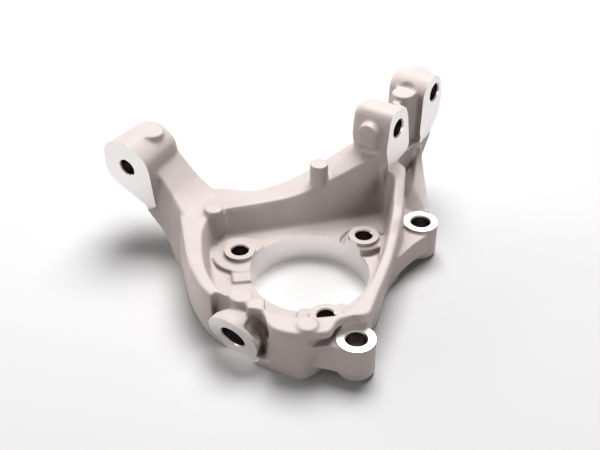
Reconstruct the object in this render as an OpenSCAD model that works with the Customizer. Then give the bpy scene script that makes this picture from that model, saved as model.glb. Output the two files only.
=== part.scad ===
// Front steering knuckle, one aluminium casting with machined bores and lug faces.
// The hub axis is Z, the outboard face lies on z = 0, the strut lugs point along +Y
// and the caliper ears stand on the +X side.

/* [Hub] */
// Radius of the wheel bearing bore
hub_r = 45; // [43:0.5:47]
// Height of the pocket floor above the outboard face
floor_h = 23; // [20:0.5:25]
// Radius of the circle that the hub bolts stand on
bolt_ring = 56.2; // [55:0.2:58]
// Radius of each hub bolt hole
bolt_r = 6.25; // [5:0.25:7]
// Radius of the spot face round each hub bolt hole
spot_r = 11.8; // [10:0.2:13]
// Height of the hub bolt seats above the outboard face
seat_h = 30; // [28:0.5:31]

/* [Cast body] */
// Reach of the cast body from the hub axis to the foot of the strut lugs
body_r = 100; // [98:1:103]
// Height of the rim at the steering arm
rim_h = 46; // [44:0.5:50]
// Height of the rim between the ball joint lug and the front caliper ear
front_h = 42; // [40:0.5:44]
// Height of the ledge on the back wall where it meets the strut lugs
back_h = 77; // [72:0.5:80]
// Height of the side wall where it meets the strut lugs
side_h = 61; // [56:0.5:66]
// Thickness of the ledge that stands out along the back wall
ledge_t = 13; // [10:0.5:16]
// Rounding of the cast outer edges
edge_r = 3; // [1:0.5:4]
// Fillet between the pocket floor and its walls
fillet_r = 5; // [3:0.5:7]

/* [Caliper ears] */
// Distance of the rear caliper hole from the hub axis across the part
ear_rear_x = 42.9; // [41:0.1:45]
// Distance of the rear caliper hole from the hub axis along the part
ear_rear_y = 94.6; // [92:0.1:97]
// Distance of the front caliper hole from the hub axis across the part
ear_front_x = 69.7; // [68:0.1:71]
// Distance of the front caliper hole from the hub axis along the part
ear_front_y = -48.5; // [-50:0.1:-47]
// Height of the caliper ear faces above the outboard face
ear_top = 30; // [28:0.5:32]
// Height of the underside of the caliper ears
ear_low = 6; // [3:0.5:9]
// Radius of each caliper ear
ear_r = 13.8; // [12.5:0.1:15]
// Radius of each caliper bolt hole
ear_hole_r = 7.25; // [6:0.25:8]

/* [Strut lugs] */
// Position of the milled strut faces across the part
strut_x = 7; // [5:0.5:9]
// Length of the strut lugs behind their faces
strut_len = 35; // [32:1:38]
// Radius of the strut lugs round their holes
strut_r = 17; // [15:0.5:18]
// Radius of the strut bolt holes
strut_hole_r = 7.25; // [6:0.25:8]
// Distance of the lower strut hole from the hub axis
strut_low_y = 115.3; // [113:0.1:118]
// Height of the lower strut hole
strut_low_z = 93.2; // [91:0.1:96]
// Distance of the upper strut hole from the hub axis
strut_up_y = 175.9; // [173:0.1:179]
// Height of the upper strut hole
strut_up_z = 97.9; // [95:0.1:100]

/* [Steering arm] */
// Distance of the tie rod hole from the hub axis
arm_x = 158.6; // [154:0.2:163]
// Height of the tie rod hole
arm_z = 69.5; // [67:0.1:72]
// Radius of the tie rod hole
arm_hole_r = 6.8; // [6:0.1:7.5]
// Distance of the milled tie rod face in front of the hub axis
arm_face = 20; // [18:0.5:22]
// Tilt of the tie rod hole and its face, in degrees
arm_tilt = 5.6; // [3:0.2:8]
// Length of the tie rod boss
arm_boss_len = 42; // [38:1:46]
// Radius of the tie rod boss
arm_boss_r = 22.5; // [20:0.5:24]

/* [Ball joint lug] */
// Position of the ball joint hole across the part
ball_x = -7.6; // [-9:0.1:-6]
// Distance of the milled ball joint face in front of the hub axis
ball_face = 86; // [85:0.2:88]
// Height of the ball joint hole at its face
ball_z = 19.8; // [19:0.1:21]
// Radius of the ball joint hole
ball_r = 9.5; // [8:0.25:10]
// Tilt of the ball joint hole and its face, in degrees
ball_tilt = 16; // [14:0.5:18]
// Radius of the ball joint lug
ball_lug_r = 20.5; // [19:0.25:21]
// Distance of the recess behind the ball joint lug in front of the hub axis
ball_back = 74; // [72:0.5:76]

/* [Casting buttons] */
// Radius of the ejector buttons
button_r = 7.3; // [6:0.1:8]
// Height of the low ejector buttons above the rim
button_h = 2; // [1:0.5:4]

/* [Hidden] */
cast = [0.79, 0.74, 0.71];
over = 5;
stations = 96;

// Outlines in plan, corner by corner: x, y and the length of the corner's blend, as shares of body_r
foot_shares = [
    [0.52, -0.44, 0.10], [0.52, -0.12, 0.16], [0.43, 0.27, 0.16], [0.30, 0.62, 0.10],
    [0.114, 0.98, 0.08], [-0.835, -0.05, 0.12], [-0.76, -0.26, 0.12], [-0.49, -0.58, 0.20],
    [-0.23, -0.70, 0.12], [0.06, -0.67, 0.12], [0.33, -0.60, 0.12]];
inner_shares = [
    [0.57, -0.44, 0.10], [0.568, -0.15, 0.16], [0.48, 0.26, 0.16], [0.33, 0.65, 0.10],
    [0.095, 1.105, 0.08], [-0.885, -0.03, 0.08], [-0.81, -0.26, 0.12], [-0.52, -0.61, 0.20],
    [-0.24, -0.745, 0.12], [0.06, -0.70, 0.12], [0.34, -0.635, 0.12]];
outer_shares = [
    [0.75, -0.44, 0.06], [0.665, -0.17, 0.16], [0.55, 0.27, 0.16], [0.40, 0.68, 0.10],
    [0.15, 1.18, 0.06], [-0.28, 1.16, 0.10], [-0.63, 0.63, 0.12], [-0.79, 0.36, 0.10],
    [-1.08, 0.24, 0.08], [-1.10, -0.18, 0.08], [-0.90, -0.375, 0.10], [-0.65, -0.63, 0.14],
    [-0.37, -0.80, 0.12], [0.02, -0.835, 0.14], [0.36, -0.815, 0.10], [0.56, -0.68, 0.08]];
base_shares = [
    [0.72, -0.44, 0.06], [0.60, -0.06, 0.16], [0.50, 0.30, 0.16], [0.47, 0.60, 0.10],
    [0.15, 1.16, 0.06], [-0.06, 1.06, 0.10], [-0.53, 0.53, 0.12], [-0.74, 0.30, 0.10],
    [-1.08, 0.20, 0.08], [-1.11, -0.20, 0.08], [-0.93, -0.38, 0.10], [-0.66, -0.62, 0.14],
    [-0.37, -0.785, 0.12], [0.02, -0.84, 0.14], [0.36, -0.80, 0.10], [0.56, -0.67, 0.08]];

// Direction of the back wall in plan, and where its ledge starts to climb, as a share of body_r
back_az = 47.4;
climb_share = 0.06;
climb_soft_share = 0.08;
foot_share = 0.75;
// Height of the rest of the rim: azimuth, and share of the climb from front_h to side_h
side_shares = [[-60, 0], [0, 0.04], [25, 0.10], [45, 0.24], [62, 0.55], [80, 0.96], [90, 1]];

// Joins a corner's two sides by a curve that starts at the given length from the corner
function blend_corner(a, b, c, d, n) =
    let (u = a - b, v = c - b,
         p = b + u * min(d / norm(u), 0.48), q = b + v * min(d / norm(v), 0.48))
    [for (i = [0:n]) let (s = i / n) p * (1 - s) * (1 - s) + b * 2 * s * (1 - s) + q * s * s];
function soft(rows, unit, n = 4) =
    let (m = len(rows))
    [for (i = [0:m - 1])
        let (a = rows[(i + m - 1) % m], b = rows[i], c = rows[(i + 1) % m])
        each blend_corner([a[0], a[1]] * unit, [b[0], b[1]] * unit, [c[0], c[1]] * unit,
            b[2] * unit, n)];
// Distance from the hub axis to an outline, measured along an azimuth
function reach(outline, az) =
    let (d = [cos(az), sin(az)], m = len(outline))
    max([for (i = [0:m - 1])
        let (p = outline[i], e = outline[(i + 1) % m] - p, den = cross(d, e))
        if (abs(den) > 0 && cross(p, d) / den >= 0 && cross(p, d) / den <= 1)
            cross(p, e) / den]);
function ramp(rows, x) =
    let (k = [for (i = [0:len(rows) - 2]) if (x >= rows[i][0] && x <= rows[i + 1][0]) i])
    len(k) == 0 ? (x < rows[0][0] ? rows[0][1] : rows[len(rows) - 1][1]) :
        let (a = rows[k[0]], b = rows[k[0] + 1], s = (x - a[0]) / (b[0] - a[0]))
        a[1] + (b[1] - a[1]) * s * s * (3 - 2 * s);
// Height of the ledge above a point of the back wall
function ledge(p) =
    let (t = (p[0] * cos(back_az) + p[1] * sin(back_az)) / body_r,
         w = climb_soft_share,
         rise = w * ln(1 + exp((min(t, foot_share) - climb_share) / w)))
    rim_h + (back_h - rim_h) * rise / (foot_share - climb_share);
function side_height(az) =
    az < -60 ? rim_h + (front_h - rim_h) * ramp([[-150, 0], [-80, 1]], az) :
        front_h + (side_h - front_h) * ramp(side_shares, az);
function ease(s) = let (c = min(max(s, 0), 1)) c * c * (3 - 2 * c);
function height(p, az) =
    az < 60 ? side_height(az) :
        let (s = ease((strut_x - p[0]) / ear_r)) side_height(az) * (1 - s) + ledge(p) * s;
function polar(r, az, z) = [r * cos(az), r * sin(az), z];
function arc(c, r, from, to, n) =
    [for (i = [0:n]) let (a = from + (to - from) * i / n) c + r * [cos(a), sin(a)]];

// Skins a closed row of sections, or with ends an open one, each a ring of as many points
module skin(rings, closed = false) {
    n = len(rings);
    m = len(rings[0]);
    last = closed ? n - 1 : n - 2;
    sides = [for (k = [0:last], j = [0:m - 1])
        let (a = k * m + j, b = k * m + (j + 1) % m,
             c = ((k + 1) % n) * m + (j + 1) % m, d = ((k + 1) % n) * m + j)
        each [[a, b, c], [a, c, d]]];
    ends = closed ? [] : [[for (j = [m - 1:-1:0]) j], [for (j = [0:m - 1]) (n - 1) * m + j]];
    polyhedron(points = [for (r = rings) each r], faces = concat(sides, ends), convexity = 8);
}

// The section of the bowl at one azimuth: floor, pocket wall, rim, outer wall and base
function bowl_section(az, foot, inner, outer, base) =
    let (rf = reach(foot, az), ri = reach(inner, az), ro = reach(outer, az),
         rb = reach(base, az), rc = hub_r * 0.8,
         zi = height([ri * cos(az), ri * sin(az)], az),
         zo = height([ro * cos(az), ro * sin(az)], az),
         e = edge_r, f = min(fillet_r, (rf - rc) / 2),
         rt = max(rb, ro - 2 * ledge_t),
         pts = concat(
            [[rc, 0], [rb - e / 2, 0], [rb, e / 2]],
            [[rb + (ro - rb) * 0.3, zo - 2 * ledge_t], [ro, zo - ledge_t]],
            arc([ro - e, zo - e], e, 0, 90, 3),
            arc([ri + e / 2, zi - e / 2], e / 2, 90, 180, 2),
            arc([rf - f, floor_h + f], f, 0, -90, 3),
            [[rc, floor_h]]))
    [for (p = pts) polar(p[0], az, p[1])];

module bowl() {
    foot = soft(foot_shares, body_r);
    inner = soft(inner_shares, body_r);
    outer = soft(outer_shares, body_r);
    base = soft(base_shares, body_r);
    skin([for (i = [0:stations - 1])
        bowl_section(-150 + 360 * i / stations, foot, inner, outer, base)], closed = true);
}

// Corners of the lug outlines from each hole: across, up and the corner's blend, as shares of the lug radius
strut_low_shares = [
    [-0.75, 1.00, 0.45], [0.55, 0.98, 0.55], [0.88, 0.35, 0.3], [1.25, -1.60, 0.3],
    [0.2, -1.75, 0.3], [-0.72, -1.82, 0.25], [-1.03, -0.70, 0.3]];
strut_up_shares = [
    [-1.16, 0.50, 0.4], [-0.45, 1.03, 0.4], [0.40, 0.80, 0.35], [0.86, -0.30, 0.4],
    [0.70, -1.50, 0.4], [0.05, -2.02, 0.4], [-0.70, -2.25, 0.3], [-1.25, -1.90, 0.3]];
arm_face_shares = [
    [-1.02, 0.75, 0.4], [-0.40, 1.06, 0.4], [0.35, 1.06, 0.4], [0.98, 0.62, 0.35],
    [1.04, -1.36, 0.15], [0.38, -1.40, 0.25], [-0.75, -0.95, 0.4], [-1.06, -0.40, 0.4]];

// Sections of the arm from the body to the boss: across as a share of the hole's distance, then the
// heights of its underside and of its top as shares of the hole's height
arm_shares = [
    [0.60, 0.00, 0.64], [0.66, 0.00, 0.685], [0.70, 0.00, 0.725], [0.755, 0.14, 0.795],
    [0.82, 0.29, 0.915], [0.885, 0.43, 1.06], [0.93, 0.54, 1.17], [0.97, 0.66, 1.21]];
// Front and back sides of the arm, as shares of the boss radius
arm_front_share = 0.5;
arm_back_share = 0.9;

// Sections of a lug from its milled face to a rounded end
module lug(rows, unit, len, taper) {
    r = edge_r * 3;
    flat = soft(rows, unit, 3);
    steps = [[len, taper * 0.72], [len - r * 0.2, taper * 0.87], [len - r * 0.6, taper * 0.97],
        [len - r, taper], [0, 1]];
    skin([for (s = steps) [for (p = flat) [p[0] * s[1], p[1] * s[1], -s[0]]]]);
}

// The web behind the strut lugs, below the bridge that joins them
web_shares = [
    [0.98, 0.10, 0.05], [1.16, 0.04, 0.05], [1.40, 0.30, 0.1], [1.78, 0.62, 0.05],
    [1.80, 0.80, 0.05], [1.52, 0.74, 0.06], [1.36, 0.72, 0.06], [1.20, 0.84, 0.05], [0.98, 0.70, 0.05]];
// The rib from the rear ear to the upper lug: left and right edges of its top, share by share
rib_left_shares = [[0.22, 1.06, 0.26], [0.20, 1.22, 0.40], [0.09, 1.50, 0.55], [-0.02, 1.62, 0.64]];
rib_right_shares = [[0.46, 1.06, 0.28], [0.31, 1.25, 0.40], [0.15, 1.46, 0.55], [0.055, 1.62, 0.64]];
rib_deep_share = 0.14;

module strut_lugs() {
    translate([strut_x, strut_low_y, strut_low_z]) rotate([90, 0, 90])
        lug(strut_low_shares, strut_r, strut_len, 0.94);
    translate([strut_x, strut_up_y, strut_up_z]) rotate([90, 0, 90])
        lug(strut_up_shares, strut_r, strut_len, 0.95);
    // Web and bridge
    translate([strut_x - strut_len * 0.8, 0, 0]) rotate([90, 0, 90])
        linear_extrude(strut_len * 0.5) polygon(soft(web_shares, body_r));
    // Round boss in front of the upper lug, tied to the lower lug by a rib
    translate([strut_x - strut_len / 2, strut_up_y - strut_r * 1.35, back_h * 0.8])
        cylinder(r = strut_r / 2, h = strut_up_z + strut_r / 4 - back_h * 0.8, $fn = 64);
    translate([strut_x - strut_len * 0.6, strut_low_y, strut_low_z - strut_r])
        cube([strut_r * 0.7, strut_up_y - strut_low_y - strut_r, strut_r * 1.4]);
}

module ear_rib() {
    n = len(rib_left_shares);
    skin([for (i = [0:n - 1])
        let (a = rib_left_shares[i] * body_r, b = rib_right_shares[i] * body_r,
             d = [-0.02, 0.04, -rib_deep_share] * body_r)
        [a, a + d, b + d, b]]);
}

function arm_ring(row) =
    let (x = -row[0] * arm_x, low = row[1] * arm_z, top = row[2] * arm_z,
         s = ease((row[0] - 0.62) / 0.2),
         front = arm_boss_r * (arm_front_share + 0.45 * (1 - s)),
         back = arm_boss_r * arm_back_share,
         rows = [[-front - edge_r * 2.6, low, edge_r], [back + edge_r, low, edge_r * 2],
             [back, top, edge_r], [-front, top, edge_r]])
    [for (p = soft(rows, 1, 2)) [x, p[0], p[1]]];

module arm() {
    skin([for (i = [0:len(arm_shares) - 1]) arm_ring(arm_shares[i])]);
    translate([-arm_x, -arm_face, arm_z]) rotate([90 + arm_tilt, 0, 0])
        lug(arm_face_shares, arm_boss_r, arm_boss_len, 0.9);
}

// Flanges that tie the caliper ears to the body, as shares of body_r
ear_rear_shares = [
    [0.55, 0.88, 0.05], [0.505, 0.68, 0.05], [0.49, 0.44, 0.08], [0.36, 0.40, 0.02],
    [0.20, 0.80, 0.02], [0.16, 1.06, 0.05], [0.30, 1.10, 0.05], [0.43, 1.07, 0.05]];
ear_front_shares = [
    [0.40, -0.71, 0.04], [0.56, -0.665, 0.05], [0.66, -0.62, 0.05], [0.74, -0.46, 0.05],
    [0.70, -0.28, 0.08], [0.55, -0.30, 0.02], [0.45, -0.50, 0.02]];

module ears() {
    for (p = [[ear_rear_x, ear_rear_y], [ear_front_x, ear_front_y]])
        translate([p[0], p[1], ear_low]) cylinder(r = ear_r, h = ear_top - ear_low, $fn = 96);
    for (rows = [ear_rear_shares, ear_front_shares])
        translate([0, 0, ear_low + edge_r]) linear_extrude(ear_top - ear_low - 2 * edge_r)
            polygon(soft(rows, body_r));
}

module ball_frame() {
    translate([ball_x, -ball_face, ball_z]) rotate([90 + ball_tilt, 0, 0]) children();
}

module ball_lug() {
    h = (ball_face - ball_back) * 2;
    ball_frame() translate([0, 0, -h]) cylinder(r = ball_lug_r, h = h, $fn = 96);
}

// Recess in the front wall, behind and above the ball joint lug
module ball_recess() {
    w = ball_lug_r;
    translate([ball_x, 0, ball_z - w * 0.6]) linear_extrude(back_h)
        polygon(soft([[-w * 1.07, -ball_back - w * 0.1, w * 0.1], [-w * 1.07, -body_r, w * 0.1],
            [w * 0.93, -body_r, w * 0.1], [w * 0.93, -ball_back + w * 0.15, w * 0.2],
            [w * 0.5, -ball_back, w * 0.3], [-w * 0.7, -ball_back, w * 0.3]], 1));
}

// Seats of the hub bolts, one clear of the wall, and the cast pad beside the first
bolt_azimuths = [195, 75, -45];
module bolt_seats() {
    for (a = bolt_azimuths) rotate(a) translate([bolt_ring, 0, 0]) {
        cylinder(r = spot_r, h = seat_h, $fn = 96);
        cylinder(r = spot_r * (a == 75 ? 1.25 : 1.8), h = (seat_h + floor_h) / 2, $fn = 96);
    }
    rotate(bolt_azimuths[0] + 26) translate([hub_r * 0.9, -spot_r * 0.6, 0])
        cube([hub_r * 0.4, spot_r * 1.2, floor_h + (seat_h - floor_h) / 3]);
}

// Places of the ejector buttons as shares of body_r, and their heights above the rim
button_shares = [[-0.86, -0.045], [-0.13, -0.68], [0.42, -0.67]];
module buttons() {
    for (i = [0:2]) let (p = button_shares[i] * body_r)
        translate([p[0], p[1], floor_h])
            cylinder(r = button_r, h = (i == 0 ? rim_h + button_h * 2 : front_h + button_h) - floor_h, $fn = 64);
    // Tall button on the ledge
    translate([-0.36 * body_r, 0.674 * body_r, rim_h])
        cylinder(r = button_r, h = back_h - rim_h - button_h * 3, $fn = 64);
    // Column in the corner of the pocket
    translate([-0.79 * body_r, -0.01 * body_r, floor_h / 2])
        cylinder(r = button_r * 0.6, h = rim_h - floor_h / 2, $fn = 48);
    // Square button beside the ball joint recess, with the rib below it
    translate([-0.01 * body_r, -0.663 * body_r, floor_h]) rotate(30)
        translate([-button_r * 0.8, -button_r * 0.8, 0])
            cube([button_r * 1.6, button_r * 1.6, front_h - floor_h]);
    // Buttons on the strut lugs
    translate([strut_x - strut_len * 0.46, strut_low_y - strut_r / 2, strut_low_z - strut_r * 0.3])
        rotate([90, 0, 0]) cylinder(r = button_r, h = strut_r / 2 + button_h / 4, $fn = 64);
    translate([strut_x - strut_len * 0.52, strut_up_y - strut_r * 0.2, strut_up_z])
        cylinder(r = button_r * 1.15, h = strut_r * 0.93, $fn = 64);
    // Button on the tie rod boss
    translate([-arm_x + edge_r * 0.3, arm_boss_len - arm_face - strut_r, arm_z])
        cylinder(r = button_r * 1.15, h = arm_boss_r + button_h / 2, $fn = 64);
}

module knuckle() {
    color(cast) difference() {
        union() {
            difference() {
                bowl();
                ball_recess();
                rotate(bolt_azimuths[1]) translate([bolt_ring, 0, floor_h - edge_r])
                    cylinder(r = spot_r * 1.55, h = seat_h - floor_h + 2 * edge_r, $fn = 96);
            }
            bolt_seats();
            arm();
            strut_lugs();
            ear_rib();
            ears();
            ball_lug();
            buttons();
        }
        translate([0, 0, -over]) cylinder(r = hub_r, h = back_h, $fn = 120);
        for (a = bolt_azimuths) rotate(a) translate([bolt_ring, 0, -over])
            cylinder(r = bolt_r, h = back_h, $fn = 64);
        for (p = [[ear_rear_x, ear_rear_y], [ear_front_x, ear_front_y]]) {
            translate([p[0], p[1], -over]) cylinder(r = ear_hole_r, h = back_h, $fn = 64);
            translate([p[0], p[1], ear_top]) cylinder(r = ear_r, h = back_h, $fn = 96);
        }
        for (p = [[strut_low_y, strut_low_z], [strut_up_y, strut_up_z]])
            translate([strut_x + over, p[0], p[1]]) rotate([0, -90, 0])
                cylinder(r = strut_hole_r, h = strut_len + 2 * over, $fn = 64);
        translate([-arm_x, -arm_face, arm_z]) rotate([90 + arm_tilt, 0, 0])
            translate([0, 0, -arm_boss_len - over])
                cylinder(r = arm_hole_r, h = arm_boss_len + 2 * over, $fn = 64);
        ball_frame() {
            translate([0, 0, -2 * (ball_face - ball_back)])
                cylinder(r = ball_r, h = 3 * (ball_face - ball_back), $fn = 64);
            cylinder(r = ball_lug_r + over, h = ball_lug_r, $fn = 64);
        }
        // Nothing of the lugs reaches below the outboard face
        translate([-body_r, -body_r * 1.5, -body_r]) cube([body_r * 2, body_r * 3, body_r]);
    }
}

knuckle();
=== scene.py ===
# A cast steering knuckle. Its casting is laid out as closed surfaces in a distance field, which gives
# it the foundry's fillets and rounds; then its holes and faces are drilled and milled
import math
import bpy
import numpy as np
import openvdb
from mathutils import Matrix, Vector


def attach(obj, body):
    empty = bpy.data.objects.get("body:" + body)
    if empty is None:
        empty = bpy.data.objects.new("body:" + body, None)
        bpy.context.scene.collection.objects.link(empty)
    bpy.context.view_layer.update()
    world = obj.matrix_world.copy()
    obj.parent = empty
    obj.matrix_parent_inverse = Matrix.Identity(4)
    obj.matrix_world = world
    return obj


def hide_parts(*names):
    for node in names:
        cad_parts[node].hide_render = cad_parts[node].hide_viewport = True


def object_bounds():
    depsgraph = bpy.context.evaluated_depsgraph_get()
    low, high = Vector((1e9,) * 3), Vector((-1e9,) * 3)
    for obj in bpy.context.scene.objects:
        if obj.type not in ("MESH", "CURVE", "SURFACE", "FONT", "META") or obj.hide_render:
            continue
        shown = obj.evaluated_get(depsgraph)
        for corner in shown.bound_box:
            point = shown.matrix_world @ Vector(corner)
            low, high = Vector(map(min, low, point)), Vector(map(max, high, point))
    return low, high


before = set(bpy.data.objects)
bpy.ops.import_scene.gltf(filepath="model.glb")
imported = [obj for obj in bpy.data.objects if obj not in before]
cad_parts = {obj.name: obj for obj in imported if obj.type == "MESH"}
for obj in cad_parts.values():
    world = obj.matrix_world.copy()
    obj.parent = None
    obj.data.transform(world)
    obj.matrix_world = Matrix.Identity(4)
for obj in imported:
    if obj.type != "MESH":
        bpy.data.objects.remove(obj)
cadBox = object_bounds()
mm = 0.001

# Places and sizes in millimetres, as in the part's source; outlines are shares of the body's radius
body = {"radius": 100.0, "floor": 23.0, "rim": 46.0, "front": 42.0, "side": 61.0, "back": 77.0,
        "ledge": 13.0, "edge": 3.0, "fillet": 5.0, "stations": 240}
hub = {"radius": 45.0, "seat": 30.0, "ring": 56.2, "bolt": 6.25, "spot": 11.8, "azimuths": (195, 75, -45)}
ears = {"rear": (42.9, 94.6), "front": (69.7, -48.5), "top": 30.0, "low": 2.5, "hole": 7.25, "radius": 13.8,
        "stock": 1.2}
struts = {"face": 7.0, "length": 35.0, "radius": 17.0, "hole": 7.25,
          "low": (115.3, 93.2), "up": (175.9, 97.9)}
tieRod = {"place": (-158.6, -20.0, 69.5), "tilt": 5.6, "hole": 6.8, "length": 42.0, "radius": 22.5}
ballJoint = {"place": (-7.6, -86.0, 19.8), "tilt": 16.0, "hole": 9.5, "lug": 20.5, "back": 74.0}
button = {"radius": 7.3, "height": 2.0}
stock = 3.0  # what the mills and the lathe take off


# Shader sockets with plain arithmetic
class Wire:
    def __init__(self, maker, socket):
        self.maker, self.socket = maker, socket

    def math(self, operation, first, second, clamp=False):
        settings = {"operation": operation, "use_clamp": clamp}
        return self.maker.node("ShaderNodeMath", settings, {0: first, 1: second})

    def __add__(self, other): return self.math("ADD", self, other)
    def __radd__(self, other): return self.math("ADD", other, self)
    def __mul__(self, other): return self.math("MULTIPLY", self, other)
    def __rmul__(self, other): return self.math("MULTIPLY", other, self)
    def clamp(self): return self.math("ADD", self, 0.0, True)


class Finish:
    def __init__(self, name):
        self.material = bpy.data.materials.new(name)
        self.material.use_nodes = True
        self.tree = self.material.node_tree
        self.shader = self.tree.nodes["Principled BSDF"]
        self.place = self.node("ShaderNodeTexCoord", {}, {}, "Object")

    # Makes a node: its settings are set first, then the values or links of its sockets
    def node(self, kind, settings, inputs, output=0):
        made = self.tree.nodes.new(kind)
        for key, value in settings.items():
            if key == "stops":
                ramp = made.color_ramp.elements
                while len(ramp) < len(value):
                    ramp.new(0.5)
                for stop, (at, colour) in zip(ramp, value):
                    stop.position, stop.color = at, (*colour, 1.0)
            else:
                setattr(made, key, value)
        for key, value in inputs.items():
            if isinstance(value, Wire):
                self.tree.links.new(value.socket, made.inputs[key])
            else:
                made.inputs[key].default_value = value
        return Wire(self, made.outputs[output])

    def noise(self, scale, detail=4.0, roughness=0.5):
        return self.node("ShaderNodeTexNoise", {}, {"Vector": self.place, "Scale": scale,
                         "Detail": detail, "Roughness": roughness}, "Fac")

    def ramp(self, value, stops):
        return self.node("ShaderNodeValToRGB", {"stops": stops}, {"Fac": value}, "Color")

    # Sockets 6, 7 and 2 are the mix node's two colours and its result
    def mix(self, factor, a, b):
        return self.node("ShaderNodeMix", {"data_type": "RGBA"}, {"Factor": factor, 6: a, 7: b}, 2)

    def ray(self, kind):
        return self.node("ShaderNodeLightPath", {}, {}, "Is " + kind + " Ray")

    def bump(self, height, strength, distance):
        return self.node("ShaderNodeBump", {}, {"Height": height, "Strength": strength,
                         "Distance": distance}, "Normal")

    def set(self, **values):
        for key, value in values.items():
            name = key.replace("_", " ")
            if isinstance(value, Wire):
                self.tree.links.new(value.socket, self.shader.inputs[name])
            else:
                self.shader.inputs[name].default_value = value


# Distance field: positive outside, on a fixed grid round the part
field = {"voxel": 0.8, "band": 8.0, "margin": 9.0, "wide": 2.2, "tight": 0.9, "edge": 0.5, "adaptivity": 0.03}
low = np.array(cadBox[0]) / mm - field["margin"]
high = np.array(cadBox[1]) / mm + field["margin"]
origin = np.floor(low / field["voxel"]).astype(int)
size = np.ceil(high / field["voxel"]).astype(int) - origin
gridPlace = openvdb.createLinearTransform(voxelSize=field["voxel"])
axisPoints = [((origin[k] + np.arange(size[k])) * field["voxel"]).astype(np.float32) for k in range(3)]


def toField(points, triangles, quads):
    grid = openvdb.FloatGrid.createLevelSetFromPolygons(
        np.asarray(points, np.float32), triangles=np.asarray(triangles, np.uint32),
        quads=np.asarray(quads, np.uint32), transform=gridPlace, halfWidth=field["band"])
    values = np.zeros(tuple(size), np.float32)
    grid.copyToArray(values, ijk=tuple(int(v) for v in origin))
    return values


def toSurface(values, level, adaptivity=0.0):
    grid = openvdb.FloatGrid(float(field["band"] * field["voxel"]))
    grid.transform = gridPlace
    grid.copyFromArray(np.ascontiguousarray(values, np.float32), ijk=tuple(int(v) for v in origin))
    return grid.convertToPolygons(isovalue=float(level), adaptivity=adaptivity)


# Closing fills inner corners to one radius, opening rounds outer corners to another
def rounded(values, inner, outer):
    grown = toField(*toSurface(values, inner))
    shrunk = toField(*toSurface(grown, -inner - outer))
    return shrunk - outer


# Corner by corner, x, y and the length of the corner's blend: each corner becomes a curve between its sides
def soft(rows, scale=1.0, steps=8):
    rows = np.array(rows, float) * scale
    before, corner, after = np.roll(rows, 1, 0)[:, :2], rows[:, :2], np.roll(rows, -1, 0)[:, :2]

    def end(side):
        return corner + side * np.minimum(rows[:, 2] / np.linalg.norm(side, axis=1), 0.48)[:, None]

    p, q, b = end(before - corner)[:, None], end(after - corner)[:, None], corner[:, None]
    s = np.linspace(0, 1, steps + 1)[None, :, None]
    return (p * (1 - s) ** 2 + b * 2 * s * (1 - s) + q * s * s).reshape(-1, 2)


# Distance from the hub's axis to an outline along each azimuth: where the ray crosses its sides
def reach(outline, azimuth):
    ray = np.stack([np.cos(azimuth), np.sin(azimuth)], -1)[:, None]
    start = outline[None]
    side = np.roll(outline, -1, 0)[None] - start
    across = ray[..., 0] * side[..., 1] - ray[..., 1] * side[..., 0]
    across = np.where(np.abs(across) < 1e-9, 1e-9, across)
    share = (start[..., 0] * ray[..., 1] - start[..., 1] * ray[..., 0]) / across
    far = (start[..., 0] * side[..., 1] - start[..., 1] * side[..., 0]) / across
    return np.where((share >= 0) & (share <= 1), far, -1.0).max(1)


def ease(share):
    share = np.clip(share, 0, 1)
    return share * share * (3 - 2 * share)


def ramp(rows, x):
    rows = np.array(rows, float)
    k = np.clip(np.searchsorted(rows[:, 0], x) - 1, 0, len(rows) - 2)
    return rows[k, 1] + (rows[k + 1, 1] - rows[k, 1]) * ease((x - rows[k, 0]) / (rows[k + 1, 0] - rows[k, 0]))


# The field of a skin over a row of rings, closed on itself or with a fan over each end
def skin(rings, closed=False):
    rings = np.asarray(rings, float)
    n, m = rings.shape[:2]
    i, j = np.meshgrid(np.arange(n if closed else n - 1), np.arange(m), indexing="ij")
    k, l = (i + 1) % n, (j + 1) % m
    quads = np.stack([i * m + j, i * m + l, k * m + l, k * m + j], -1).reshape(-1, 4)
    if closed:
        return toField(rings.reshape(-1, 3), np.zeros((0, 3)), quads)
    points = np.vstack([rings.reshape(-1, 3), rings[0].mean(0), rings[-1].mean(0)])
    j = np.arange(m)
    fans = [np.stack([np.full(m, n * m + e), e * (n - 1) * m + j, e * (n - 1) * m + (j + 1) % m], -1)
            for e in (0, 1)]
    return toField(points, np.vstack(fans), quads)


# An outline carried along its normal: each step is a distance and the outline's scale there
def prism(outline, place, across, up, steps):
    across, up = np.array(across, float), np.array(up, float)
    flat = outline[:, :1] * across + outline[:, 1:] * up
    return skin([np.array(place) + flat * scale + np.cross(across, up) * far for far, scale in steps])


sideways = ((0, 1, 0), (0, 0, 1))  # outlines seen along the hub's X axis
flatways = ((1, 0, 0), (0, 1, 0))  # outlines seen in plan


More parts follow.
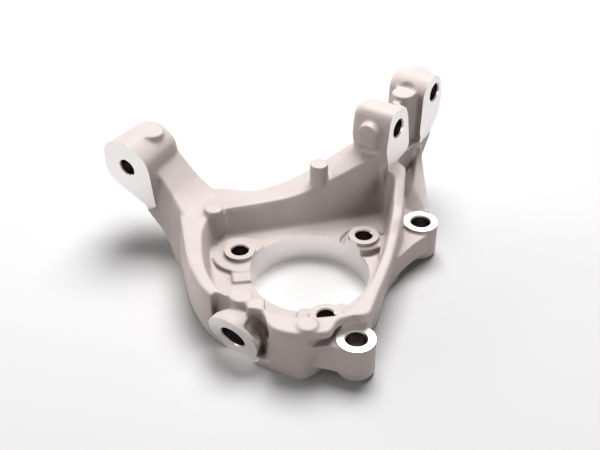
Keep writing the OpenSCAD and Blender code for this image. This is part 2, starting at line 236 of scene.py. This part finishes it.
# Joins or cuts a capped cylinder or cone: the distances run along its axis, the radii go with them
def barrel(values, place, axis, start, end, radius, tip=None, cut=False):
    place, axis = np.array(place, np.float32), np.array(axis, np.float32)
    tip = radius if tip is None else tip
    window, spans = [], []
    for k in range(3):
        ends = place[k] + axis[k] * np.array([start, end])
        half = max(radius, tip) * math.sqrt(max(0.0, 1 - float(axis[k]) ** 2)) + field["band"]
        hit = np.nonzero((axisPoints[k] >= ends.min() - half) & (axisPoints[k] <= ends.max() + half))[0]
        window.append(slice(int(hit[0]), int(hit[-1]) + 1))
        spans.append(axisPoints[k][window[k]] - place[k])
    x, y, z = np.meshgrid(*spans, indexing="ij", sparse=True)
    along = x * axis[0] + y * axis[1] + z * axis[2]
    side = np.sqrt(np.maximum(x * x + y * y + z * z - along * along, 0))
    wide = radius + (tip - radius) * np.clip((along - start) / (end - start), 0, 1)
    made = np.maximum(side - wide, np.maximum(start - along, along - end))
    window = tuple(window)
    values[window] = np.maximum(values[window], -made) if cut else np.minimum(values[window], made)


def polar(radius, degrees, height=0.0):
    return (radius * math.cos(math.radians(degrees)), radius * math.sin(math.radians(degrees)), height)


# Axis of a hole that leans down from the front by an angle, and the upward side of its face
def tilted(angle):
    return (0.0, -math.cos(math.radians(angle)), -math.sin(math.radians(angle)))


def tiltedUp(angle):
    return (0.0, -math.sin(math.radians(angle)), math.cos(math.radians(angle)))


up, inboard = (0, 0, 1), (1, 0, 0)
u, edge = body["radius"], body["edge"]

print("casting: body")
# Outlines in plan: foot of the pocket, its mouth, the outside of the rim and the outside of the base
foot = [[0.52, -0.44, 0.10], [0.52, -0.12, 0.16], [0.43, 0.27, 0.16], [0.30, 0.62, 0.10],
        [0.114, 0.98, 0.08],
        [-0.835, -0.05, 0.12], [-0.76, -0.26, 0.12], [-0.49, -0.58, 0.20], [-0.23, -0.70, 0.12],
        [0.06, -0.67, 0.12], [0.33, -0.60, 0.12]]
inner = [[0.57, -0.44, 0.10], [0.568, -0.15, 0.16], [0.48, 0.26, 0.16], [0.33, 0.65, 0.10],
         [0.095, 1.105, 0.20],
         [-0.885, -0.03, 0.08], [-0.81, -0.26, 0.12], [-0.52, -0.61, 0.20], [-0.24, -0.745, 0.12],
         [0.06, -0.70, 0.12], [0.34, -0.635, 0.12]]
outer = [[0.715, -0.34, 0.05], [0.665, -0.17, 0.16], [0.55, 0.27, 0.16], [0.40, 0.68, 0.10],
         [0.15, 1.18, 0.06],
         [-0.28, 1.16, 0.10], [-0.63, 0.63, 0.12], [-0.79, 0.36, 0.10], [-1.08, 0.24, 0.08],
         [-1.10, -0.18, 0.08],
         [-0.90, -0.375, 0.10], [-0.65, -0.63, 0.14], [-0.37, -0.80, 0.12], [0.02, -0.835, 0.14],
         [0.36, -0.815, 0.10], [0.585, -0.64, 0.05], [0.555, -0.50, 0.05]]
base = [[0.52, -0.46, 0.06], [0.62, -0.06, 0.12], [0.47, 0.36, 0.16], [0.47, 0.60, 0.10], [0.15, 1.16, 0.06],
        [-0.06, 1.06, 0.10], [-0.53, 0.53, 0.12], [-0.74, 0.30, 0.10], [-1.08, 0.20, 0.08],
        [-1.11, -0.20, 0.08],
        [-0.93, -0.38, 0.10], [-0.66, -0.62, 0.14], [-0.37, -0.785, 0.12], [0.02, -0.84, 0.14],
        [0.36, -0.80, 0.08], [0.46, -0.79, 0.05], [0.51, -0.62, 0.04]]
# Height of the rim round the sides, and of the ledge that climbs to the back wall
climb = {"azimuth": math.radians(47.4), "start": 0.06, "soft": 0.08, "end": 0.75}
sides = [[-60, 0], [0, 0.04], [25, 0.10], [45, 0.24], [62, 0.55], [80, 0.96], [90, 1]]


def rimHeight(radius, degrees):
    angle = np.radians(degrees)
    x, y = radius * np.cos(angle), radius * np.sin(angle)
    front = body["rim"] + (body["front"] - body["rim"]) * ramp([[-150, 0], [-80, 1]], degrees)
    side = body["front"] + (body["side"] - body["front"]) * ramp(sides, degrees)
    side = np.where(degrees < -60, front, side)
    far = (x * math.cos(climb["azimuth"]) + y * math.sin(climb["azimuth"])) / u
    rise = climb["soft"] * np.log1p(np.exp((np.minimum(far, climb["end"]) - climb["start"]) / climb["soft"]))
    ledge = body["rim"] + (body["back"] - body["rim"]) * rise / (climb["end"] - climb["start"])
    share = np.where(degrees < 60, 0, ease((struts["face"] - edge - x) / (edge * 2)))
    return side * (1 - share) + ledge * share


# The section at each azimuth, from the base up the outside, over the rim and down the pocket's wall
degrees = -150 + 360 * np.arange(body["stations"]) / body["stations"]
rf, ri, ro, rb = (reach(soft(rows, u), np.radians(degrees)) for rows in (foot, inner, outer, base))
zi, zo = rimHeight(ri, degrees), rimHeight(ro, degrees)
rc = hub["radius"] * 0.8
f = np.minimum(body["fillet"], (rf - rc) / 2)


def arc(r, z, radius, start, end, steps=6):
    angles = np.radians(np.linspace(start, end, steps + 1))
    return [(r + radius * math.cos(a), z + radius * math.sin(a)) for a in angles]


section = [(rc, -stock), (rb - edge / 2, -stock), (rb - edge / 2, 0), (rb, edge / 2),
           (rb + (ro - rb) * 0.3, zo - 2 * body["ledge"]), (ro, zo - body["ledge"])]
brow, lip = edge * 0.6, edge * 0.3
section += arc(ro - brow, zo - brow, brow, 0, 90) + arc(ri + lip, zi - lip, lip, 90, 180)
section += arc(rf - f, body["floor"] + f, f, 0, -90) + [(rc, body["floor"])]
turn = np.radians(degrees)
rings = np.stack([np.stack([r * np.cos(turn), r * np.sin(turn), z + 0 * turn], -1) for r, z in section], 1)
solid = skin(rings, closed=True)

# Recess behind the ball joint, groove under the rim and the room round the third bolt seat
w, ballDepth = ballJoint["lug"], -ballJoint["place"][1] - ballJoint["back"]
recess = soft([[-w * 1.07, -ballJoint["back"] - w * 0.1, w * 0.1], [-w * 1.07, -u, w * 0.1],
               [w * 2.1, -u, w * 0.1],
               [w * 2.1, -u * 0.84, w * 0.05], [w * 1.3, -u * 0.815, w * 0.45],
               [w * 0.82, -ballJoint["back"] + w * 0.1, w * 0.25], [w * 0.5, -ballJoint["back"], w * 0.3],
               [-w * 0.7, -ballJoint["back"], w * 0.3]])
groove = soft([[0.46, -0.77, 0.01], [0.475, -0.66, 0.03], [0.505, -0.54, 0.03], [0.51, -0.47, 0.02],
               [0.58, -0.42, 0.02], [0.75, -0.46, 0.02], [0.75, -0.75, 0.02]], u)


def carve(outline, place, depth):
    np.maximum(solid, -prism(outline, place, *flatways, [(0, 1), (depth, 1)]), out=solid)


carve(recess, (ballJoint["place"][0], 0, ballJoint["place"][2] - w * 0.6), body["back"])
carve(groove, (0, 0, ears["top"] - edge / 2), body["front"] - ears["top"] - edge * 1.8)
barrel(solid, polar(hub["ring"], 75), up, body["floor"] - edge, hub["seat"] + edge, hub["spot"] * 1.55,
       cut=True)


def join(made):
    np.minimum(solid, made, out=solid)


def block(place, angle, length, width, top):
    corners = np.array([(0, 0), (length, 0), (length, width), (0, width)], float)
    c, s = math.cos(math.radians(angle)), math.sin(math.radians(angle))
    join(prism(corners, place, (c, s, 0), (-s, c, 0), [(-stock, 1), (top, 1)]))


def lug(rows, radius, place, across, upward, length, taper):
    r = edge * 3
    join(prism(soft(rows, radius), place, across, upward,
               [(-length, taper * 0.72), (r * 0.2 - length, taper * 0.87), (r * 0.6 - length, taper * 0.97),
                (r - length, taper), (0, 1), (stock, 1)]))


print("casting: hub bolts, ears and ball joint")
for azimuth in hub["azimuths"]:
    place = polar(hub["ring"], azimuth)
    barrel(solid, place, up, -stock, hub["seat"] + stock, hub["spot"])
    spread = 1.25 if azimuth == 75 else 1.8
    barrel(solid, place, up, -stock, (hub["seat"] + body["floor"]) / 2, hub["spot"] * spread)
padAngle = hub["azimuths"][0] + 26
cosPad, sinPad = math.cos(math.radians(padAngle)), math.sin(math.radians(padAngle))
near, half = hub["radius"] * 0.9, hub["spot"] * 0.6
block((near * cosPad + half * sinPad, near * sinPad - half * cosPad, 0), padAngle,
      hub["radius"] * 0.4, half * 2, body["floor"] + (hub["seat"] - body["floor"]) / 3)

earRear = [[0.55, 0.88, 0.05], [0.505, 0.68, 0.05], [0.49, 0.44, 0.08], [0.36, 0.40, 0.02],
           [0.20, 0.80, 0.02],
           [0.16, 1.06, 0.05], [0.30, 1.10, 0.05], [0.43, 1.07, 0.05]]
earFront = [[0.42, -0.50, 0.02], [0.50, -0.12, 0.02], [0.62, -0.12, 0.04], [0.70, -0.32, 0.08],
            [0.76, -0.46, 0.05],
            [0.78, -0.57, 0.08], [0.71, -0.622, 0.05], [0.62, -0.618, 0.04], [0.44, -0.685, 0.02]]
for place in (ears["rear"], ears["front"]):
    barrel(solid, (*place, 0), up, ears["low"], ears["top"] + ears["stock"], ears["radius"])
earLow = ears["low"] + 2 * edge
join(prism(soft(earRear, u), (0, 0, 0), *flatways, [(earLow, 1), (ears["top"] - edge, 1)]))
flare = np.array([0.02, -0.035, 0]) * u
flat = soft(earFront, u)
join(skin([np.c_[flat, np.full(len(flat), ears["top"] - edge / 2)],
           np.c_[flat, np.full(len(flat), earLow)] + flare]))
# The groove runs on behind the front ear; behind the rear ear the wall is open
over = ears["top"] + ears["stock"] - 0.3
barrel(solid, (*ears["rear"], 0), up, over, body["back"], ears["radius"] + 0.25, cut=True)
barrel(solid, (*ears["front"], 0), up, over, body["front"] - edge * 2.3, ears["radius"], cut=True)
barrel(solid, (*ears["front"], 0), up, over, body["back"], ears["hole"] * 1.4, cut=True)

ballAxis = tilted(ballJoint["tilt"])
barrel(solid, ballJoint["place"], ballAxis, -ballDepth / 2, 0, w * 0.96, w)
barrel(solid, ballJoint["place"], ballAxis, 0, stock, w)
barrel(solid, ballJoint["place"], ballAxis, -ballDepth * 1.2, -ballDepth / 2, w * 0.72, w * 0.96)
# Behind the right of its face the lug is hollowed out
notch = np.array(ballJoint["place"]) + np.array((0.85, 0, 0)) * w
notch += np.array(tiltedUp(ballJoint["tilt"])) * w * 0.45
barrel(solid, notch, ballAxis, -ballDepth * 1.3, -3.2, w * 0.46, cut=True)
barrel(solid, ballJoint["place"], ballAxis, -ballDepth * 2, 0, ballJoint["hole"] * 1.3)

print("casting: arm")
# Sections of the arm: how far out, its underside and its top, as shares of the tie rod hole's place
armRows = [[0.60, 0.00, 0.64], [0.66, 0.00, 0.685], [0.70, 0.00, 0.725], [0.755, 0.14, 0.795],
           [0.82, 0.29, 0.915], [0.885, 0.43, 1.06], [0.93, 0.54, 1.17], [0.97, 0.66, 1.21]]
armX, armFace, armZ = -tieRod["place"][0], -tieRod["place"][1], tieRod["place"][2]


def armRing(row):
    far, under, top = row[0] * armX, row[1] * armZ, row[2] * armZ
    under = -stock if under == 0 else under
    front = tieRod["radius"] * (0.5 + 0.45 * (1 - ease((row[0] - 0.62) / 0.2)))
    back = tieRod["radius"] * 0.9
    rows = [[-front - edge * 2.6, under, edge], [back + edge, under, edge * 2],
            [back, top, edge], [-front, top, edge]]
    return [(-far, p[0], p[1]) for p in soft(rows, 1, 4)]


join(skin([armRing(row) for row in armRows]))
armOutline = [[-1.03, 0.20, 0.3], [-0.92, 0.64, 0.2], [-0.50, 0.99, 0.25], [0.15, 1.09, 0.25],
              [0.62, 0.84, 0.2],
              [0.98, 0.56, 0.25], [1.04, 0.10, 0.3], [1.04, -1.36, 0.12], [0.42, -1.39, 0.2],
              [-0.34, -1.06, 0.2],
              [-0.86, -0.82, 0.2], [-1.06, -0.46, 0.25]]
lug(armOutline, tieRod["radius"], tieRod["place"], (1, 0, 0), tiltedUp(tieRod["tilt"]), tieRod["length"], 0.9)

print("casting: strut lugs, webs and rib")
lowOutline = [[-0.75, 1.00, 0.45], [0.55, 0.98, 0.55], [0.88, 0.35, 0.3], [1.25, -1.60, 0.3],
              [0.2, -1.75, 0.3],
              [-0.72, -1.82, 0.25], [-1.03, -0.70, 0.3]]
upOutline = [[-1.16, 0.50, 0.4], [-0.45, 0.97, 0.4], [0.40, 0.78, 0.35], [0.86, -0.30, 0.4],
             [0.70, -1.50, 0.4],
             [0.05, -2.02, 0.4], [-0.70, -2.25, 0.3], [-1.25, -1.90, 0.3]]
web = [[0.98, 0.10, 0.05], [1.22, 0.06, 0.1], [1.44, 0.17, 0.1], [1.62, 0.36, 0.1], [1.78, 0.58, 0.05],
       [1.78, 0.72, 0.05], [1.58, 0.61, 0.06], [1.38, 0.615, 0.06], [1.20, 0.72, 0.05], [0.98, 0.66, 0.05]]
bridge = [[0.98, 0.30, 0.05], [1.30, 0.34, 0.1], [1.50, 0.46, 0.1], [1.78, 0.62, 0.05], [1.80, 0.86, 0.05],
          [1.54, 0.82, 0.06], [1.38, 0.82, 0.06], [1.20, 0.88, 0.05], [0.98, 0.70, 0.05]]
long, sr, face = struts["length"], struts["radius"], struts["face"]
(lowY, lowZ), (upY, upZ) = struts["low"], struts["up"]
lug(lowOutline, sr, (face, lowY, lowZ), *sideways, long, 0.94)
lug(upOutline, sr, (face, upY, upZ), *sideways, long, 0.95)
join(prism(soft(web, u), (face, 0, 0), *sideways, [(-long * 0.55, 1), (-long * 0.03, 1)]))
join(prism(soft(bridge, u), (face, 0, 0), *sideways, [(-long * 0.8, 1), (-long * 0.3, 1)]))
boss = (face - long * 0.47, upY - sr * 1.43, 0)
barrel(solid, boss, up, upZ + sr * 0.36, upZ + sr * 1.2, sr * 0.56, cut=True)
barrel(solid, boss, up, body["back"] * 0.7, upZ + sr * 0.36, sr * 0.54)
barrel(solid, (face - long * 0.2, lowY - sr * 0.6, 0), up, body["floor"], lowZ - sr, edge * 2)
for across, along in ((0.47, 1.48), (0.25, 1.20)):
    post = (face - long * across, lowY + sr * along, 0)
    barrel(solid, post, up, body["back"] * 0.8, lowZ + sr * 0.4, sr * 0.2)

# Left and right edges of the rib's top, from the rear ear to the upper lug
ribLeft = np.array([[0.22, 1.06, 0.26], [0.20, 1.22, 0.40], [0.09, 1.50, 0.55], [-0.02, 1.62, 0.64]]) * u
ribRight = np.array([[0.46, 1.06, 0.28], [0.31, 1.25, 0.40], [0.15, 1.46, 0.55], [0.055, 1.62, 0.64]]) * u
deep = np.array([-0.02, 0.04, -0.14]) * u
corner = np.stack([np.full(4, face - long * 0.1), ribLeft[:, 1], ribLeft[:, 2] - edge * 4], -1)
join(skin(np.stack([ribLeft, corner, corner - (0, 0, 0.14 * u), ribRight + deep, ribRight], 1)))

print("casting: ejector buttons")
br, bh = button["radius"], button["height"]
barrel(solid, (-0.86 * u, -0.045 * u, 0), up, body["floor"], body["rim"] + bh * 2.5, br)
barrel(solid, (-0.13 * u, -0.68 * u, 0), up, body["floor"], body["front"] + bh, br * 1.15)
barrel(solid, (0.42 * u, -0.67 * u, 0), up, body["front"] - edge * 1.5, body["front"] + bh, br)
barrel(solid, (-0.36 * u, 0.674 * u, 0), up, body["rim"], body["back"] - bh * 3, br)
barrel(solid, (-0.823 * u, -0.012 * u, 0), up, body["floor"] / 2, body["rim"], br * 0.5)
squareTurn = 31
c, s = math.cos(math.radians(squareTurn)), math.sin(math.radians(squareTurn))
block((0.007 * u - br * 0.8 * (c - s), -0.686 * u - br * 0.8 * (s + c), 0), squareTurn,
      br * 1.6, br * 1.6, body["front"] + bh / 2)
lowButton = (face - long * 0.47, lowY - sr / 2, lowZ - sr * 0.06)
barrel(solid, lowButton, (0, -1, 0), 0, sr * 0.72, br * 1.3, br * 1.08)
tail = np.array([(-1.08, -1.6), (1.08, -1.6), (1.08, 0), (-1.08, 0)]) * br
join(prism(tail, lowButton, (1, 0, 0), (0, 0, 1), [(0, 1), (sr * 0.72, 1)]))
barrel(solid, (face - long * 0.46, upY + sr * 0.06, 0), up, upZ, upZ + sr * 0.89, br * 1.15)
barrel(solid, (-armX + tieRod["radius"] * 0.32, tieRod["length"] * 0.11, 0), up, armZ,
       armZ + tieRod["radius"] + bh / 2, br * 1.23)

print("casting: growing the fillets")
# Wide fillets at the roots of the arm and the lugs, tight ones elsewhere: where they begin, and over how far
fade = {"arm": (-78, 20), "lugs": (96, 14), "height": (40, 15)}
tight = rounded(solid, field["tight"], field["edge"])
wide = rounded(solid, field["wide"], field["edge"])
x, y, z = np.meshgrid(*axisPoints, indexing="ij", sparse=True)
(armFrom, armOver), (lugFrom, lugOver), (riseFrom, riseOver) = fade.values()
lugRoots = ease((y - lugFrom) / lugOver) * ease((z - riseFrom) / riseOver)
roots = np.maximum(ease((armFrom - x) / armOver), lugRoots).astype(np.float32)
surface = toSurface(tight + (wide - tight) * roots, 0.0, field["adaptivity"])
print("casting:", len(surface[0]), "points", len(surface[1]), "triangles", len(surface[2]), "quads")

print("machining: cutters")
cast, milled, drilled = Finish("castSkin"), Finish("milledMetal"), Finish("drilledMetal")


def newMesh(name, points, faces, materials=(cast.material, milled.material, drilled.material)):
    mesh = bpy.data.meshes.new(name)
    mesh.from_pydata((np.asarray(points) * mm).tolist(), [], faces)
    for material in materials:
        mesh.materials.append(material)
    made = bpy.data.objects.new(name, mesh)
    bpy.context.scene.collection.objects.link(made)
    return made


# openvdb winds its faces inwards, so they are turned over
faces = [tuple(t) for group in (surface[1], surface[2]) for t in group[:, ::-1].tolist()]
casting = newMesh("casting", surface[0], faces)
casting.data.validate()
cutters = []


# A closed cutter through a row of rings. What its wall and its ends leave: 0 cast skin, 1 milled metal,
# 2 drilled metal
def cutter(name, rings, wall, end=1):
    rings = np.asarray(rings, float)
    n, m = rings.shape[:2]
    i, j = np.meshgrid(np.arange(n - 1), np.arange(m), indexing="ij")
    k = (j + 1) % m
    quads = np.stack([i * m + j, i * m + k, (i + 1) * m + k, (i + 1) * m + j], -1).reshape(-1, 4)
    faces = [tuple(q) for q in quads.tolist()]
    faces += [tuple(range(m - 1, -1, -1)), tuple(range((n - 1) * m, n * m))]
    made = newMesh(name, rings.reshape(-1, 3), faces)
    marks = np.full(len(faces), end, np.int32)
    marks[:len(quads)] = wall
    made.data.polygons.foreach_set("material_index", marks)
    cutters.append(made)


# Circles round an axis: each row of the profile is a distance along the axis and a radius
def turned(name, place, axis, profile, wall=0, steps=96, end=1):
    axis = Vector(axis).normalized()
    side = axis.orthogonal().normalized()
    other = axis.cross(side)
    angle = (np.arange(steps) * 2 * math.pi / steps)[:, None]
    circle = np.cos(angle) * np.array(side) + np.sin(angle) * np.array(other)
    rings = [np.array(place) + far * np.array(axis) + radius * circle for far, radius in profile]
    cutter(name, rings, wall, end)


# Drills: name, place, outward direction, radius, depth below the face and chamfer
past = 6.0  # how far a drill runs out behind
seats = [polar(hub["ring"], azimuth, hub["seat"]) for azimuth in hub["azimuths"]]
earTops = [(*ears[k], ears["top"]) for k in ("rear", "front")]
strutFaces = [(face, *struts[k]) for k in ("low", "up")]
armAxis = tilted(tieRod["tilt"])
drills = [("hub", (0, 0, body["floor"]), up, hub["radius"], body["floor"] + past, 0)]
drills += [("bolt", place, up, hub["bolt"], hub["seat"] + past, 0.9) for place in seats]
drills += [("ear", place, up, ears["hole"], ears["top"] + past, 1.0) for place in earTops]
drills += [("strut", place, inboard, struts["hole"], long + past, 1.0) for place in strutFaces]
drills += [("tieRod", tieRod["place"], armAxis, tieRod["hole"], tieRod["length"] + past, 0.8)]
drills += [("ball", ballJoint["place"], ballAxis, ballJoint["hole"], ballDepth * 2 + 0.6, 0.8)]
for name, place, axis, radius, depth, c in drills:
    if name == "hub":
        turned(name, place, axis, [(-depth, radius), (20, radius)], 1, 192)
    else:
        profile = [(-depth, radius), (-c, radius), (0, radius + c), (stock, radius + c)]
        turned(name, place, axis, profile, 2, 72)

# Mills over the faces: how far each reaches past its lug or seat, or its radius, and its height
mills = {"seat": (1.2, 9), "rearEar": (0.4, 1.5), "frontEar": 0.15, "strut": (1.1, 3), "arm": (38, 12),
         "ball": (4, 20), "base": (260, 12)}


def mill(name, place, axis, radius, height, end=1):
    turned(name, place, axis, [(0, radius), (height, radius)], end=end)


for place in seats:
    mill("seatMill", place, up, hub["spot"] + mills["seat"][0], mills["seat"][1], end=0)
mill("earMill", earTops[0], up, ears["radius"] + mills["rearEar"][0], mills["rearEar"][1])
underRim = body["front"] - edge * 2.3 - ears["top"]
mill("earMill", earTops[1], up, ears["radius"] + mills["frontEar"], underRim)
for outline, (y, z) in ((lowOutline, struts["low"]), (upOutline, struts["up"])):
    flat = soft(outline, sr * mills["strut"][0], 4)[::-1] + (y, z)
    ends = (face, face + stock * mills["strut"][1])
    cutter("strutMill", [np.c_[np.full(len(flat), x), flat] for x in ends], 0)
mill("tieRodMill", tieRod["place"], armAxis, *mills["arm"])
mill("ballMill", ballJoint["place"], ballAxis, ballJoint["lug"] + mills["ball"][0], mills["ball"][1])
mill("baseMill", (-20, 40, 0), (0, 0, -1), *mills["base"])

# Cast skin: shot-blasted grain with faint blotches. Milled metal is brighter, with an uneven gloss
blotch = cast.noise(38.0, 5.0, 0.6)
grain = cast.noise(900.0, 3.0, 0.7)
castColour = cast.ramp(blotch, [(0.3, (0.69, 0.595, 0.565)), (0.7, (0.75, 0.66, 0.63))])
# Light that has bounced once meets a darker skin, which keeps the pocket's walls in shade
bounced = (0.12, 0.092, 0.082, 1.0)
cast.set(Base_Color=cast.mix(cast.ray("Diffuse"), castColour, bounced), Metallic=0.05,
         Roughness=0.48 + blotch * 0.08, Specular_IOR_Level=0.3, Normal=cast.bump(grain, 0.12, 0.0004))
gloss = milled.noise(260.0, 2.0, 0.5)
milled.set(Base_Color=(0.95, 0.915, 0.91, 1.0), Metallic=0.75, Roughness=0.34 + gloss * 0.08)
drilled.set(Base_Color=(0.40, 0.355, 0.345, 1.0), Metallic=1.0, Roughness=0.2)

tools = bpy.data.collections.new("tools")
for made in cutters:
    bpy.context.scene.collection.objects.unlink(made)
    tools.objects.link(made)
bpy.context.scene.collection.children.link(tools)
step = casting.modifiers.new("machining", "BOOLEAN")
step.operation, step.operand_type, step.collection = "DIFFERENCE", "COLLECTION", tools
step.solver, step.material_mode = "EXACT", "TRANSFER"
finished = bpy.data.meshes.new_from_object(casting.evaluated_get(bpy.context.evaluated_depsgraph_get()))
casting.modifiers.clear()
casting.data = finished
for made in cutters:
    bpy.data.objects.remove(made)
bpy.data.collections.remove(tools)
triangles = sum(len(p.vertices) - 2 for p in finished.polygons)
print("machining:", len(finished.vertices), "points", triangles, "triangles")
sharpFrom = 32  # degrees between two faces
finished.shade_smooth()
finished.set_sharp_from_angle(angle=math.radians(sharpFrom))
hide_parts("knuckle")
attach(casting, "root")

print("studio: floor, lights and camera")
# The floor shows white to the camera and to the metal, and throws less back at the walls
room = {"floor": 6000.0, "white": (0.88, 0.872, 0.872, 1.0), "bounce": (0.32, 0.305, 0.295, 1.0),
        "sky": 0.02, "backdrop": 0.92, "aim": (-0.02, 0.03, 0.03), "far": 1.6}
# Soft boxes: azimuth and height in degrees, side in metres and power in watts
boxes = {"key": (112, 65, 1.0, 30.5), "left": (185, 12, 1.0, 9.5), "front": (236, 10, 1.0, 7.0),
         "right": (345, 12, 0.8, 4.5)}
h, level = room["floor"], float(cadBox[0][2]) / mm
paper = Finish("paper")
seen = (paper.ray("Camera") + paper.ray("Glossy") + paper.ray("Transmission")).clamp()
paper.set(Base_Color=paper.mix(seen, room["bounce"], room["white"]), Roughness=0.9, Specular_IOR_Level=0.0)
corners = [(-h, -h, level), (h, -h, level), (h, h, level), (-h, h, level)]
floor = newMesh("floor", corners, [(0, 1, 2, 3)], [paper.material])

for name, (azimuth, rise, side, power) in boxes.items():
    lamp = bpy.data.lights.new(name, "AREA")
    lamp.shape, lamp.size, lamp.energy = "SQUARE", side, power
    made = bpy.data.objects.new(name, lamp)
    towards = Vector((*polar(math.cos(math.radians(rise)), azimuth)[:2], math.sin(math.radians(rise))))
    made.location = Vector(room["aim"]) + towards * room["far"]
    made.rotation_euler = (-towards).to_track_quat("-Z", "Y").to_euler()
    bpy.context.scene.collection.objects.link(made)
world = bpy.data.worlds.new("studio")
bpy.context.scene.world = world
world.use_nodes = True
backdrop = world.node_tree.nodes["Background"]
ray = world.node_tree.nodes.new("ShaderNodeLightPath")
share = world.node_tree.nodes.new("ShaderNodeMapRange")
share.inputs["To Min"].default_value, share.inputs["To Max"].default_value = room["backdrop"], room["sky"]
world.node_tree.links.new(ray.outputs["Is Diffuse Ray"], share.inputs["Value"])
world.node_tree.links.new(share.outputs["Result"], backdrop.inputs["Strength"])
backdrop.inputs["Color"].default_value = (1.0, 0.99, 0.99, 1.0)

view = {"place": (0.2922, -0.4490, 0.4651), "down": 36.62, "heading": 123.84, "lens": 55.4226}
lens = bpy.data.cameras.new("view")
lens.lens, lens.sensor_width = view["lens"], 36.0
camera = bpy.data.objects.new("view", lens)
camera.location = view["place"]
camera.rotation_euler = (math.radians(90 - view["down"]), 0, math.radians(view["heading"] - 90))
bpy.context.scene.collection.objects.link(camera)
bpy.context.scene.camera = camera
bpy.context.scene.view_settings.view_transform = "Standard"
